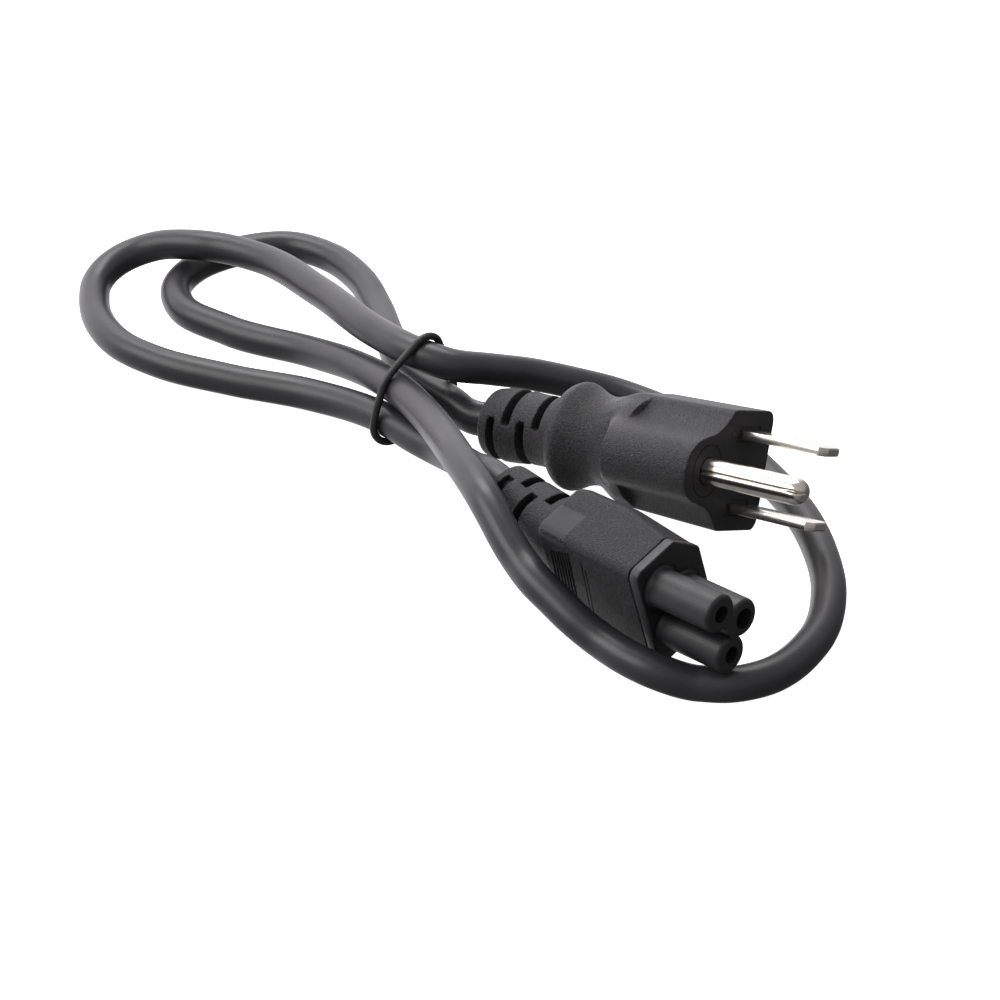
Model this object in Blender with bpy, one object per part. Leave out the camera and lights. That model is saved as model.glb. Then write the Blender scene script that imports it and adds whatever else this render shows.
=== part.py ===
# Power cord: a three-pin mains plug and a three-hole appliance connector on one round cable,
# coiled into two flat loops and held by a wire tie. Metres, +Z up, the floor at z = 0.

import math

import bmesh
import bpy
from mathutils import Matrix, Vector

for old in list(bpy.data.objects):
    bpy.data.objects.remove(old, do_unlink=True)

MM = 0.001
GAP = 0.3 * MM

# Cable and tie
CABLE_D = 6.0 * MM
TIE_D = 1.4 * MM
FLOOR_LIFT = 0.02 * MM

# Plug: blades and ground pin follow the standard three-pin pattern
BLADE_SPACING = 12.7 * MM
BLADE_WIDTH = 6.35 * MM
BLADE_THICK = 1.5 * MM
BLADE_LENGTH = 16.6 * MM
BLADE_CHAMFER = 1.3 * MM
BLADE_ROOT = 9.0 * MM
PIN_OFFSET = 11.89 * MM
PIN_D = 4.6 * MM
PIN_LENGTH = 19.9 * MM
PIN_ROOT = 9.0 * MM
PIN_TIP = 1.9 * MM
SEAM_WIDTH = 0.35 * MM
SEAM_DEPTH = 0.6 * MM
PLUG_HALF = 10.5 * MM
PLUG_BACK = 7.6 * MM
PLUG_SHOULDER = 6.0 * MM
PLUG_CORNER = 2.0 * MM
LOBE_R = 6.0 * MM
LOBE_FILLET = 3.0 * MM
BODY_END = 19.0 * MM
NECK_AT = 27.0 * MM
NECK_R = 7.95 * MM
BALL_AT = 33.0 * MM
BALL_R = 9.75 * MM
BOOT_AT = 36.0 * MM
BOOT_END = 51.4 * MM
BOOT_R = 6.8 * MM
BOOT_TIP_R = 6.25 * MM
REAR_DROP = 0.045
DROP_FROM = 24.0 * MM
SLOT_WIDTH = 1.5 * MM
SLOT_INNER = 3.7 * MM
SLOT_FIRST = 38.8 * MM
SLOT_PITCH = 3.13 * MM
SLOT_COUNT = 4
SLOT_TURN = 94.0

# Connector: three tubes on a plate, cloverleaf pattern
TUBE_R = 3.25 * MM
WEB_LEVEL = 0.6 * MM
HOLE_HALF = 4.42 * MM
EARTH_OFFSET = 4.26 * MM
NOSE_LENGTH = 12.95 * MM
PLATE_THICK = 1.8 * MM
HOLE_D = 2.9 * MM
EARTH_HOLE_D = 3.5 * MM
LIP = 3.0 * MM
CHAMBER_D = 4.1 * MM
SLEEVE_WALL = 0.45 * MM
SLEEVE_FIT = 0.2 * MM
STEM_LENGTH = 9.0 * MM
STEM_MARGIN = 1.3 * MM
HOUSING_HALF = 10.1 * MM
HOUSING_FLAT = 4.3 * MM
HOUSING_TOP = 10.0 * MM
HOUSING_CHAMFER = 4.9 * MM
REAR_CHAMFER = 2.6 * MM
REAR_LIFT = 1.0 * MM
HOUSING_END = 36.4 * MM
CBOOT_LENGTH = 18.7 * MM
CBOOT_START = (-1.6 * MM, 3.4 * MM)
CBOOT_TIP = (-1.8 * MM, 7.3 * MM)
CBOOT_HALF = 6.0 * MM
CBOOT_TIP_HALF = 4.3 * MM
CSLOT_WIDTH = 1.8 * MM
CSLOT_INNER = 3.6 * MM
CSLOT_FIRST = 3.0 * MM
CSLOT_PITCH = 3.7 * MM
CSLOT_COUNT = 4

# Middle of the plug and the connector on the floor, taken off every position below
ORIGIN = Vector((26.48, -11.80, 0.0)) * MM

# Where the two ends lie: point of the mating face, heading, pitch and roll in degrees
PLUG_POINT = Vector((41.22, -3.22, 14.30)) * MM - ORIGIN
PLUG_ANGLES = (-34.8, 7.4, 26.7)
CONNECTOR_POINT = Vector((35.57, -50.9, 14.15)) * MM - ORIGIN
CONNECTOR_ANGLES = (-45.1, 4.6, -14.3)

# Route of the cable's middle line in millimetres, from the plug to the connector
ROUTE = [
    (-9.1, 32.7, 6.5), (-12.8, 37.3, 6.3), (-16.0, 41.9, 6.1), (-21.3, 61.6, 4.1), (-23.8, 73.5, 3.1),
    (-27.8, 85.3, 3.0), (-33.9, 93.9, 3.0), (-42.0, 98.6, 3.0), (-52.0, 96.5, 3.0), (-59.2, 91.0, 3.0),
    (-63.4, 80.8, 3.0), (-61.4, 72.9, 3.0), (-51.6, 64.3, 3.0), (-35.7, 53.8, 4.6), (-27.7, 44.6, 7.3),
    (-18.4, 29.4, 11.1), (-12.3, 14.8, 13.6), (-9.5, 5.5, 15.3), (-7.0, -3.8, 17.1), (-4.3, -11.7, 17.7),
    (-2.3, -17.2, 17.3), (-0.5, -21.0, 15.8), (1.3, -24.4, 14.0), (3.3, -27.5, 12.3), (5.8, -31.4, 11.0),
    (8.7, -34.5, 9.6), (11.8, -37.6, 8.0), (16.1, -41.0, 6.1), (20.8, -45.4, 5.5), (24.9, -47.9, 4.9),
    (30.8, -48.5, 3.1), (36.7, -48.9, 3.0), (42.3, -47.1, 3.0), (51.3, -36.7, 3.0), (54.8, -23.3, 3.0),
    (54.4, -10.5, 3.0), (51.9, 1.3, 3.0), (47.7, 11.7, 3.0), (41.3, 22.9, 3.0), (34.5, 30.3, 3.2),
    (27.4, 35.2, 4.0), (20.2, 37.5, 5.6), (12.8, 37.1, 7.9), (5.5, 36.1, 10.2), (-1.8, 33.6, 12.7),
    (-9.0, 31.7, 14.8), (-14.8, 33.9, 15.8), (-21.9, 42.0, 15.1), (-34.0, 62.9, 12.3), (-46.6, 79.9, 10.4),
    (-54.8, 84.9, 10.0), (-58.8, 86.1, 9.9), (-62.9, 87.6, 9.3), (-67.0, 89.0, 8.3), (-71.1, 89.2, 7.0),
    (-74.7, 87.8, 5.9), (-77.3, 85.3, 4.9), (-78.9, 81.4, 4.0), (-78.9, 76.1, 3.4), (-77.6, 69.7, 3.0),
    (-71.9, 59.0, 3.0), (-63.9, 52.4, 3.0), (-50.2, 46.1, 3.0), (-35.0, 40.1, 3.4), (-20.4, 28.4, 5.1),
    (-14.3, 22.0, 4.8), (-11.2, 18.8, 4.9), (-7.9, 13.6, 6.3), (-4.7, 6.4, 8.8),
]
CABLE_STEP = 8.4 * MM
CABLE_LEAD = 4.5 * MM
TIE_PLANE = Vector((-15.1, 31.7, 9.0)) * MM - ORIGIN


def pose(point, angles, flip):
    """Matrix that lays a piece down: its Z axis is the way the contacts point."""
    heading, pitch, roll = (math.radians(v) for v in angles)
    flat = math.cos(pitch)
    axis = Vector((math.cos(heading) * flat, math.sin(heading) * flat, math.sin(pitch)))
    level = Vector((-math.sin(heading), math.cos(heading), 0.0))
    upward = axis.cross(level)
    across = (upward * math.cos(roll) + level * math.sin(roll)) * flip
    side = axis.cross(across)
    matrix = Matrix((across, side, axis)).transposed().to_4x4()
    matrix.translation = point
    return matrix


PLUG_POSE = pose(PLUG_POINT, PLUG_ANGLES, 1.0)
CONNECTOR_POSE = pose(CONNECTOR_POINT, CONNECTOR_ANGLES, -1.0)


def material(name, colour, roughness, metallic):
    """A plain material for one sub-part."""
    mat = bpy.data.materials.new(name)
    mat.use_nodes = True
    shader = mat.node_tree.nodes["Principled BSDF"]
    shader.inputs["Base Color"].default_value = (*colour, 1.0)
    shader.inputs["Roughness"].default_value = roughness
    shader.inputs["Metallic"].default_value = metallic
    return mat


def add_object(name, bm, matrix, mat, smooth_angle=None):
    """Puts a mesh into the scene as one named piece."""
    bmesh.ops.recalc_face_normals(bm, faces=bm.faces)
    mesh = bpy.data.meshes.new(name)
    bm.to_mesh(mesh)
    bm.free()
    obj = bpy.data.objects.new(name, mesh)
    bpy.context.collection.objects.link(obj)
    obj.matrix_world = matrix
    if mat is not None:
        obj.data.materials.append(mat)
    if smooth_angle is not None:
        for polygon in mesh.polygons:
            polygon.use_smooth = True
        mesh.set_sharp_from_angle(angle=math.radians(smooth_angle))
    return obj


def cutter(name, bm, matrix):
    """A hidden tool for a boolean."""
    obj = add_object(name, bm, matrix, None)
    obj.hide_render = True
    obj.display_type = "WIRE"
    return obj


def boolean(target, tool, operation):
    """Applies one exact boolean as a modifier that stays on the piece."""
    step = target.modifiers.new(tool.name, "BOOLEAN")
    step.operation = operation
    step.solver = "EXACT"
    step.object = tool


def arc(centre, radius, start, end, steps):
    """Points of an arc, angles in degrees."""
    return [
        (centre[0] + radius * math.cos(math.radians(start + (end - start) * i / steps)),
         centre[1] + radius * math.sin(math.radians(start + (end - start) * i / steps)))
        for i in range(steps + 1)
    ]


def rounded_polygon(corners, radii, steps):
    """Rounds each corner of a polygon that runs counterclockwise."""
    points = []
    count = len(corners)
    for i, corner in enumerate(corners):
        here = Vector(corner)
        before = (Vector(corners[i - 1]) - here).normalized()
        after = (Vector(corners[(i + 1) % count]) - here).normalized()
        half = before.angle(after) / 2
        reach = radii[i] / math.tan(half)
        centre = here + (before + after).normalized() * (radii[i] / math.sin(half))
        first = here + before * reach - centre
        last = here + after * reach - centre
        turn = first.angle_signed(last)
        for k in range(steps + 1):
            point = first.copy()
            point.rotate(Matrix.Rotation(-turn * k / steps, 2))
            points.append(tuple(centre + point))
    return points


def prism(bm, outline, low, high):
    """A straight prism over an outline."""
    bottom = [bm.verts.new((x, y, low)) for x, y in outline]
    top = [bm.verts.new((x, y, high)) for x, y in outline]
    bm.faces.new(list(reversed(bottom)))
    bm.faces.new(top)
    for i in range(len(outline)):
        k = (i + 1) % len(outline)
        bm.faces.new((bottom[i], bottom[k], top[k], top[i]))


def loft(bm, rings):
    """Closes a skin over rings that all have the same number of points."""
    rows = [[bm.verts.new(point) for point in ring] for ring in rings]
    count = len(rows[0])
    for low, high in zip(rows, rows[1:]):
        for i in range(count):
            k = (i + 1) % count
            bm.faces.new((low[i], low[k], high[k], high[i]))
    bm.faces.new(list(reversed(rows[0])))
    bm.faces.new(rows[-1])


def circle(radius, centre, steps):
    """A full circle of points."""
    return arc(centre, radius, 0.0, 360.0 * (steps - 1) / steps, steps - 1)


def reach_of(outline, centre, angle):
    """How far an outline lies from a centre in one direction."""
    best = 0.0
    dx, dy = math.cos(angle), math.sin(angle)
    for i in range(len(outline)):
        after = outline[(i + 1) % len(outline)]
        ax, ay = outline[i][0] - centre[0], outline[i][1] - centre[1]
        bx, by = after[0] - centre[0], after[1] - centre[1]
        ex, ey = bx - ax, by - ay
        det = dx * ey - dy * ex
        if abs(det) < 1e-15:
            continue
        along = (ax * ey - ay * ex) / det
        share = (ax * dy - ay * dx) / det
        if along > best and -1e-9 <= share <= 1 + 1e-9:
            best = along
    return best


def plug_outline():
    """Face of the plug: a block with a round lobe about the ground pin."""
    flat_y = PLUG_SHOULDER
    rise = flat_y + LOBE_FILLET - PIN_OFFSET
    fillet_x = math.sqrt((LOBE_R + LOBE_FILLET) ** 2 - rise ** 2)
    turn = math.degrees(math.atan2(rise, fillet_x))
    right = arc((PLUG_HALF - PLUG_CORNER, -PLUG_BACK + PLUG_CORNER), PLUG_CORNER, -90.0, 0.0, 4)
    corner = PLUG_HALF - fillet_x
    right += arc((PLUG_HALF - corner, flat_y - corner), corner, 0.0, 90.0, 4)
    right += arc((fillet_x, flat_y + LOBE_FILLET), LOBE_FILLET, 270.0, 180.0 + turn, 4)[1:]
    right += arc((0.0, PIN_OFFSET), LOBE_R, turn, 90.0, 7)[1:]
    left = [(-x, y) for x, y in reversed(right[:-1])]
    return right + left


SECTION_STEPS = 56
FACE_OUTLINE = plug_outline()


def plug_section(level, across, back, lobe, share, radius):
    """One ring of the plug: the face outline changing into a circle by the share."""
    centre = (0.0, (1.0 - share) * 3.2 * MM)
    drop = REAR_DROP * max(-level - DROP_FROM, 0.0)
    ring = []
    for i in range(SECTION_STEPS):
        angle = math.tau * i / SECTION_STEPS
        outline = []
        for x, y in FACE_OUTLINE:
            stretch = lobe if y > 0.0 else back
            outline.append((x * across, y * stretch))
        square = reach_of(outline, centre, angle)
        sin_c = centre[1] * math.sin(angle)
        round_ = -sin_c + math.sqrt(max(radius ** 2 - (centre[1] * math.cos(angle)) ** 2, 0.0))
        reach = square * (1.0 - share) + round_ * share
        x = centre[0] + reach * math.cos(angle) - drop
        ring.append((x, centre[1] + reach * math.sin(angle), level))
    return ring


def half_ring(bm, inner, outer, low, high, towards, half_angle, shift=(0.0, 0.0)):
    """A half ring that cuts one strain relief slot."""
    outside = arc(shift, outer, towards - half_angle, towards + half_angle, 18)
    inside = arc(shift, inner, towards + half_angle, towards - half_angle, 18)
    prism(bm, outside + inside, low, high)


# Materials
BLACK = (0.012, 0.012, 0.013)
mat_plug = material("plug_pvc", BLACK, 0.55, 0.0)
mat_blade_upper = material("blade_upper_plating", (0.80, 0.77, 0.70), 0.25, 1.0)
mat_blade_lower = material("blade_lower_plating", (0.80, 0.77, 0.70), 0.25, 1.0)
mat_pin = material("ground_pin_plating", (0.82, 0.78, 0.70), 0.22, 1.0)
mat_cable = material("cable_jacket", (0.010, 0.010, 0.011), 0.38, 0.0)
mat_housing = material("connector_pvc", BLACK, 0.5, 0.0)
mat_insert = material("connector_insert_plastic", (0.02, 0.02, 0.021), 0.35, 0.0)
mat_tie = material("tie_coating", (0.015, 0.015, 0.015), 0.5, 0.0)

# Plug body
bm = bmesh.new()
stations = [
    (0.0, 1.0, 1.0, 1.0, 0.0, BALL_R),
    (-6.0 * MM, 0.985, 0.995, 1.0, 0.0, BALL_R),
    (-BODY_END, 0.945, 0.97, 0.99, 0.0, BALL_R),
    (-21.0 * MM, 0.92, 0.96, 0.93, 0.15, 9.4 * MM),
    (-23.0 * MM, 0.87, 0.95, 0.78, 0.45, 8.9 * MM),
    (-25.0 * MM, 0.84, 0.95, 0.66, 0.78, 8.35 * MM),
    (-NECK_AT, 0.82, 0.95, 0.60, 1.0, NECK_R),
    (-28.6 * MM, 0.82, 0.95, 0.60, 1.0, NECK_R + 0.15 * MM),
    (-30.3 * MM, 0.82, 0.95, 0.60, 1.0, 8.6 * MM),
    (-31.9 * MM, 0.82, 0.95, 0.60, 1.0, BALL_R - 0.4 * MM),
    (-BALL_AT, 0.82, 0.95, 0.60, 1.0, BALL_R),
    (-34.2 * MM, 0.82, 0.95, 0.60, 1.0, BALL_R - 0.3 * MM),
    (-34.9 * MM, 0.82, 0.95, 0.60, 1.0, BALL_R - 0.8 * MM),
    (-35.5 * MM, 0.82, 0.95, 0.60, 1.0, BALL_R - 1.65 * MM),
    (-BOOT_AT, 0.82, 0.95, 0.60, 1.0, BOOT_R + 0.2 * MM),
    (-BOOT_AT - 0.4 * MM, 0.82, 0.95, 0.60, 1.0, BOOT_R),
    (-BOOT_END + 1.2 * MM, 0.82, 0.95, 0.60, 1.0, BOOT_TIP_R + 0.05 * MM),
    (-BOOT_END + 0.4 * MM, 0.82, 0.95, 0.60, 1.0, BOOT_TIP_R - 0.35 * MM),
    (-BOOT_END, 0.82, 0.95, 0.60, 1.0, BOOT_TIP_R - 1.1 * MM),
]
loft(bm, [plug_section(*station) for station in reversed(stations)])
plug_body = add_object("plug_body", bm, PLUG_POSE, mat_plug, 40)

bm = bmesh.new()
for index in range(SLOT_COUNT):
    middle = -(SLOT_FIRST + SLOT_PITCH * index)
    towards = 174.0 if index % 2 else -6.0
    low = middle - SLOT_WIDTH / 2
    drop = REAR_DROP * (-middle - DROP_FROM)
    half_ring(bm, SLOT_INNER, BOOT_R + 2.0 * MM, low, low + SLOT_WIDTH, towards, SLOT_TURN, (-drop, 0.0))
boolean(plug_body, cutter("plug_slots", bm, PLUG_POSE), "DIFFERENCE")

bm = bmesh.new()
for sign in (1.0, -1.0):
    half_t = BLADE_THICK / 2 + GAP
    half_w = BLADE_WIDTH / 2 + GAP
    x = sign * BLADE_SPACING / 2
    pocket = [(x - half_t, -half_w), (x + half_t, -half_w), (x + half_t, half_w), (x - half_t, half_w)]
    prism(bm, pocket, -BLADE_ROOT - GAP, 1.0 * MM)
prism(bm, circle(PIN_D / 2 + GAP, (0.0, PIN_OFFSET), 32), -PIN_ROOT - GAP, 1.0 * MM)
boolean(plug_body, cutter("plug_pockets", bm, PLUG_POSE), "DIFFERENCE")


def blade(name, sign, mat):
    """A flat blade with two cut corners and a thinned tip."""
    bm = bmesh.new()
    half_w = BLADE_WIDTH / 2
    x = sign * BLADE_SPACING / 2
    cut = BLADE_CHAMFER
    profile = [(-half_w, -BLADE_ROOT), (half_w, -BLADE_ROOT), (half_w, BLADE_LENGTH - cut)]
    profile += [(half_w - cut, BLADE_LENGTH), (cut - half_w, BLADE_LENGTH)]
    profile.append((-half_w, BLADE_LENGTH - cut))
    near = [bm.verts.new((x - BLADE_THICK / 2, y, z)) for y, z in profile]
    far = [bm.verts.new((x + BLADE_THICK / 2, y, z)) for y, z in profile]
    bm.faces.new(near)
    bm.faces.new(list(reversed(far)))
    for i in range(len(profile)):
        k = (i + 1) % len(profile)
        bm.faces.new((near[i], far[i], far[k], near[k]))
    for vert in bm.verts:
        if vert.co.z > BLADE_LENGTH - cut / 2:
            vert.co.x = x + (vert.co.x - x) * 0.7
    return add_object(name, bm, PLUG_POSE, mat, 30)


blade("blade_upper", 1.0, mat_blade_upper)
blade("blade_lower", -1.0, mat_blade_lower)

# Ground pin with its rolled seam
bm = bmesh.new()
rings = []
pin_levels = [(-PIN_ROOT, 1.0), (PIN_LENGTH - PIN_TIP, 1.0)]
for step in range(1, 6):
    angle = math.radians(15.0 * step)
    pin_levels.append((PIN_LENGTH - PIN_TIP + PIN_TIP * math.sin(angle), 0.25 + 0.75 * math.cos(angle)))
for level, share in pin_levels:
    ring = circle(PIN_D / 2 * share, (0.0, PIN_OFFSET), 28)
    rings.append([(x, y, level) for x, y in ring])
loft(bm, rings)
ground_pin = add_object("ground_pin", bm, PLUG_POSE, mat_pin, 30)
bm = bmesh.new()
seam_y = PIN_OFFSET + PIN_D / 2
seam = [(-SEAM_WIDTH / 2, seam_y - SEAM_DEPTH), (SEAM_WIDTH / 2, seam_y - SEAM_DEPTH)]
seam += [(SEAM_WIDTH / 2, seam_y + MM), (-SEAM_WIDTH / 2, seam_y + MM)]
prism(bm, seam, -PIN_ROOT - MM, PIN_LENGTH + MM)
boolean(ground_pin, cutter("pin_seam", bm, PLUG_POSE), "DIFFERENCE")

# Connector insert: plate, tubes and a stem that sits in the housing
HOLES = [((-HOLE_HALF, 0.0), HOLE_D), ((HOLE_HALF, 0.0), HOLE_D), ((0.0, EARTH_OFFSET), EARTH_HOLE_D)]


def housing_outline(margin, chamfer=HOUSING_CHAMFER, radius=1.5 * MM, lift=0.0):
    """Six-sided outline of the plate and the housing."""
    half = HOUSING_HALF - margin
    flat = -HOUSING_FLAT + margin + lift
    top = HOUSING_TOP - margin
    slope = margin * math.tan(math.radians(22.5))
    shoulder = HOUSING_TOP - chamfer - slope
    inner = HOUSING_HALF - chamfer - slope
    corners = [(-half, flat), (half, flat), (half, shoulder)]
    corners += [(inner, top), (-inner, top), (-half, shoulder)]
    return rounded_polygon(corners, [1.7 * MM, 1.7 * MM] + [radius] * 4, 4)


plate_back = -NOSE_LENGTH - PLATE_THICK
stem_end = plate_back - STEM_LENGTH
bm = bmesh.new()
prism(bm, housing_outline(0.0), plate_back, -NOSE_LENGTH)
insert = add_object("connector_insert", bm, CONNECTOR_POSE, mat_insert, 40)
bm = bmesh.new()
prism(bm, housing_outline(STEM_MARGIN), stem_end, plate_back + 0.5 * MM)
boolean(insert, cutter("insert_stem", bm, CONNECTOR_POSE), "UNION")


def cloverleaf(radius, web):
    """Outline of the three tubes, joined by a flat web between line and neutral."""
    points = []
    left, right, top = (-HOLE_HALF, 0.0), (HOLE_HALF, 0.0), (0.0, EARTH_OFFSET)
    valley = math.degrees(math.atan2(EARTH_OFFSET, HOLE_HALF))
    span = math.hypot(HOLE_HALF, EARTH_OFFSET) / 2
    open_ = math.degrees(math.acos(min(span / radius, 1.0)))
    inner = -math.degrees(math.asin(web / radius))
    points += arc(right, radius, 180.0 + inner, 360.0 + 180.0 - valley - open_, 14)
    points += arc(top, radius, -valley + open_, 180.0 + valley - open_, 12)[1:-1]
    points += arc(left, radius, valley + open_, 360.0 - inner, 14)
    return points


bm = bmesh.new()
edge = 0.7 * MM
full = cloverleaf(TUBE_R, WEB_LEVEL)
inset = cloverleaf(TUBE_R - 0.2 * MM, WEB_LEVEL - 0.1 * MM)
rings = [[(x, y, -NOSE_LENGTH - 0.5 * MM) for x, y in full], [(x, y, -edge) for x, y in full]]
rings.append([(x, y, 0.0) for x, y in inset])
loft(bm, rings)
boolean(insert, cutter("insert_tubes", bm, CONNECTOR_POSE), "UNION")
bm = bmesh.new()
for centre, width in HOLES:
    prism(bm, circle(width / 2, centre, 24), -LIP - 0.5 * MM, 1.0 * MM)
boolean(insert, cutter("insert_holes", bm, CONNECTOR_POSE), "DIFFERENCE")
bm = bmesh.new()
for centre, width in HOLES:
    prism(bm, circle(CHAMBER_D / 2, centre, 24), stem_end - 1.0 * MM, -LIP)
boolean(insert, cutter("insert_chambers", bm, CONNECTOR_POSE), "DIFFERENCE")

# Contact sleeves inside the three chambers
for index, (centre, width) in enumerate(HOLES):
    name = "contact_sleeve_%d" % (index + 1)
    outer = CHAMBER_D / 2 - SLEEVE_FIT
    bm = bmesh.new()
    prism(bm, circle(outer, centre, 24), stem_end + 1.0 * MM, -LIP - GAP)
    brass = material(name + "_metal", (0.72, 0.55, 0.28), 0.3, 1.0)
    sleeve = add_object(name, bm, CONNECTOR_POSE, brass, 30)
    bm = bmesh.new()
    prism(bm, circle(outer - SLEEVE_WALL, centre, 24), stem_end + 3.0 * MM, 1.0 * MM)
    boolean(sleeve, cutter(name + "_bore", bm, CONNECTOR_POSE), "DIFFERENCE")

# Connector housing with its slotted strain relief
housing_front = plate_back - GAP
housing_end = -HOUSING_END
bm = bmesh.new()
levels = [
    (housing_front, 0.0, HOUSING_CHAMFER, 1.5 * MM, 0.0),
    (-20.0 * MM, 0.0, HOUSING_CHAMFER * 0.77, 1.8 * MM, 0.15 * MM),
    (-25.0 * MM, 0.0, REAR_CHAMFER, 2.2 * MM, 0.4 * MM),
    (housing_end + 0.5 * MM, 0.0, REAR_CHAMFER, 2.2 * MM, REAR_LIFT),
    (housing_end, 0.5 * MM, REAR_CHAMFER, 2.2 * MM, REAR_LIFT),
]
rings = []
for level, margin, chamfer, radius, lift in reversed(levels):
    rings.append([(x, y, level) for x, y in housing_outline(margin, chamfer, radius, lift)])
loft(bm, rings)
housing = add_object("connector_body", bm, CONNECTOR_POSE, mat_housing, 35)


def boot_frame(along):
    """Middle point and bend angles of the connector's strain relief, from the housing back."""
    share = along / CBOOT_LENGTH
    ease = share * share * (2.0 - share) * 0.6 + share * 0.4
    slope = ((4.0 * share - 3.0 * share * share) * 0.6 + 0.4) / CBOOT_LENGTH
    dx = CBOOT_TIP[0] - CBOOT_START[0]
    dy = CBOOT_TIP[1] - CBOOT_START[1]
    point = Vector((CBOOT_START[0] + dx * ease, CBOOT_START[1] + dy * ease, housing_end - along))
    back = Vector((dx * slope, dy * slope, -1.0)).normalized()
    x_axis = (Vector((1.0, 0.0, 0.0)) - back * back.x).normalized()
    y_axis = x_axis.cross(back)
    return point, x_axis, y_axis, back


def boot_ring(along, half, corner):
    """A rounded square ring of the strain relief."""
    point, x_axis, y_axis, _ = boot_frame(along)
    square = [(-half, -half), (half, -half), (half, half), (-half, half)]
    return [tuple(point + x_axis * x + y_axis * y) for x, y in rounded_polygon(square, [corner] * 4, 5)]


bm = bmesh.new()
rings = []
for share in (-0.2, 0.0, 0.25, 0.5, 0.75, 0.955, 0.985, 1.0):
    half = CBOOT_HALF + (CBOOT_TIP_HALF - CBOOT_HALF) * max(share, 0.0)
    half -= 60.0 * (max(share, 0.955) - 0.955) ** 1.5 * MM
    rings.append(boot_ring(CBOOT_LENGTH * share, half, half * 0.72))
loft(bm, rings)
boolean(housing, cutter("housing_boot", bm, CONNECTOR_POSE), "UNION")

bm = bmesh.new()
for index in range(CSLOT_COUNT):
    along = CBOOT_LENGTH - CSLOT_FIRST - CSLOT_PITCH * index
    point, x_axis, y_axis, back = boot_frame(along)
    towards = 90.0 if index % 2 else -90.0
    start = len(bm.verts)
    half_ring(bm, CSLOT_INNER, 9.5 * MM, -CSLOT_WIDTH / 2, CSLOT_WIDTH / 2, towards, 88.0)
    bm.verts.ensure_lookup_table()
    for vert in bm.verts[start:]:
        vert.co = point + x_axis * vert.co.x + y_axis * vert.co.y + back * vert.co.z
boolean(housing, cutter("housing_slots", bm, CONNECTOR_POSE), "DIFFERENCE")
bm = bmesh.new()
prism(bm, housing_outline(STEM_MARGIN - GAP), stem_end - GAP, housing_front + 1.0 * MM)
boolean(housing, cutter("housing_pocket", bm, CONNECTOR_POSE), "DIFFERENCE")


def smooth_curve(points, parts):
    """A smooth curve through points: a cubic between each two, slopes set by chord length."""
    count = len(points)
    spans = [(points[i + 1] - points[i]).length for i in range(count - 1)]
    slopes = []
    for i in range(count):
        if i == 0:
            slopes.append((points[1] - points[0]) / spans[0])
        elif i == count - 1:
            slopes.append((points[-1] - points[-2]) / spans[-1])
        else:
            before = (points[i] - points[i - 1]) / spans[i - 1]
            after = (points[i + 1] - points[i]) / spans[i]
            slopes.append((before * spans[i] + after * spans[i - 1]) / (spans[i] + spans[i - 1]))
    out = []
    for i in range(count - 1):
        for k in range(parts):
            t = k / parts
            a = 2 * t ** 3 - 3 * t ** 2 + 1
            b = t ** 3 - 2 * t ** 2 + t
            c = -2 * t ** 3 + 3 * t ** 2
            d = t ** 3 - t ** 2
            ends = points[i] * a + points[i + 1] * c
            out.append(ends + slopes[i] * (b * spans[i]) + slopes[i + 1] * (d * spans[i]))
    out.append(points[-1])
    return out


def even(points, step):
    """The same curve read at even steps."""
    lengths = [0.0]
    for a, b in zip(points, points[1:]):
        lengths.append(lengths[-1] + (b - a).length)
    total = lengths[-1]
    count = max(int(round(total / step)), 1)
    out = []
    j = 0
    for i in range(count + 1):
        want = total * i / count
        while j < len(points) - 2 and lengths[j + 1] < want:
            j += 1
        share = (want - lengths[j]) / max(lengths[j + 1] - lengths[j], 1e-12)
        out.append(points[j].lerp(points[j + 1], min(share, 1.0)))
    return out


def tube(name, points, diameter, sides, mat):
    """A round tube along points."""
    curve = bpy.data.curves.new(name, "CURVE")
    curve.dimensions = "3D"
    curve.bevel_depth = diameter / 2
    curve.bevel_resolution = sides
    curve.use_fill_caps = True
    spline = curve.splines.new("POLY")
    spline.points.add(len(points) - 1)
    for target, point in zip(spline.points, points):
        target.co = (*point, 1.0)
    obj = bpy.data.objects.new(name, curve)
    bpy.context.collection.objects.link(obj)
    obj.data.materials.append(mat)
    return obj


# Cable
drop = REAR_DROP * (BOOT_END - DROP_FROM)
plug_exit = PLUG_POSE @ Vector((-drop, 0.0, -BOOT_END - GAP))
drop += REAR_DROP * CABLE_LEAD
plug_lead = PLUG_POSE @ Vector((-drop, 0.0, -BOOT_END - GAP - CABLE_LEAD))
tip, _, _, tip_back = boot_frame(CBOOT_LENGTH)
connector_exit = CONNECTOR_POSE @ (tip + tip_back * GAP)
connector_lead = CONNECTOR_POSE @ (tip + tip_back * (GAP + CABLE_LEAD))
route = [plug_exit, plug_lead] + [Vector(p) * MM - ORIGIN for p in ROUTE] + [connector_lead, connector_exit]
floor_level = CABLE_D / 2 + FLOOR_LIFT
middle = even(smooth_curve(route, 12), CABLE_STEP)
middle = [Vector((p.x, p.y, max(p.z, floor_level))) for p in middle]
middle[1] = plug_lead
middle[-2] = connector_lead
tube("cable", middle, CABLE_D, 2, mat_cable)

# Tie: one wire round the four strands, in a plane across them
fine = smooth_curve(route, 24)
tie_way = Vector((0.62, -0.785, 0.0)).normalized()
tie_across = Vector((-tie_way.y, tie_way.x, 0.0))
centres = []
for a, b in zip(fine, fine[1:]):
    da = (a - TIE_PLANE).dot(tie_way)
    db = (b - TIE_PLANE).dot(tie_way)
    if da * db <= 0.0 and (a - TIE_PLANE).length < 22.0 * MM:
        hit = a.lerp(b, abs(da) / max(abs(da) + abs(db), 1e-12))
        centres.append(((hit - TIE_PLANE).dot(tie_across), hit.z))


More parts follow.
